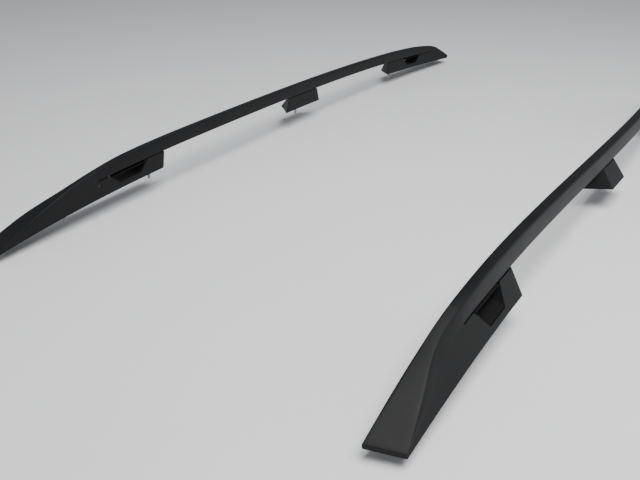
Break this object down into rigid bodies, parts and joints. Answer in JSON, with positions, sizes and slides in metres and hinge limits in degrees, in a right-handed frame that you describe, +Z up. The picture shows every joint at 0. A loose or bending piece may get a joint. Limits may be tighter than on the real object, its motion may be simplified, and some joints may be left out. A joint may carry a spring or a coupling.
{
  "type": "raised roof rail pair",
  "caption": "Pair of raised black side rails for a car roof, with hollow beams on moulded feet with tie-down openings, for clamping ski carriers or cross bars.",
  "frame": {"origin": "middle of the pair's length and width, at the level of the lowest roof-stud tips", "axes": "+Z up, -Y towards the car's front, +X towards the car's left side; the rails run along Y"},
  "size_m": [1.1186, 2.19, 0.1523],
  "materials": {
    "rail_coating": "satin black powder coat on extruded aluminium",
    "cover_plastic": "moulded black plastic with a fine satin grain",
    "liner_plastic": "plain matt black moulding",
    "pad_rubber": "matt black rubber",
    "washer_rubber": "soft closed-cell sealing rubber",
    "cast_aluminium": "as-cast, lightly blasted",
    "zinc_steel": "bright zinc-plated steel",
    "black_steel": "black zinc-flake coated steel",
    "clip_plastic": "natural nylon"
  },
  "bodies": {
    "root": {"left_beam": "rail_coating", "left_beam_screws": "black_steel", "left_cover_clips": "clip_plastic", "left_cover_screws": "black_steel", "left_front_beam_plug": "liner_plastic", "left_front_bracket": "cast_aluminium", "left_front_pad": "pad_rubber", "left_front_tie_down_liner": "liner_plastic", "left_mid_bracket": "cast_aluminium", "left_mid_foot_cover": "cover_plastic", "left_mid_pad": "pad_rubber", "left_nose_cover": "cover_plastic", "left_rear_beam_plug": "liner_plastic", "left_rear_bracket": "cast_aluminium", "left_rear_pad": "pad_rubber", "left_rear_tie_down_liner": "liner_plastic", "left_rivet_nuts": "zinc_steel", "left_roof_studs": "zinc_steel", "left_sealing_washers": "washer_rubber", "left_stud_nuts": "zinc_steel", "left_tail_cover": "cover_plastic", "right_beam": "rail_coating", "right_beam_screws": "black_steel", "right_cover_clips": "clip_plastic", "right_cover_screws": "black_steel", "right_front_beam_plug": "liner_plastic", "right_front_bracket": "cast_aluminium", "right_front_pad": "pad_rubber", "right_front_tie_down_liner": "liner_plastic", "right_mid_bracket": "cast_aluminium", "right_mid_foot_cover": "cover_plastic", "right_mid_pad": "pad_rubber", "right_nose_cover": "cover_plastic", "right_rear_beam_plug": "liner_plastic", "right_rear_bracket": "cast_aluminium", "right_rear_pad": "pad_rubber", "right_rear_tie_down_liner": "liner_plastic", "right_rivet_nuts": "zinc_steel", "right_roof_studs": "zinc_steel", "right_sealing_washers": "washer_rubber", "right_stud_nuts": "zinc_steel", "right_tail_cover": "cover_plastic"}
  },
  "joints": []
}
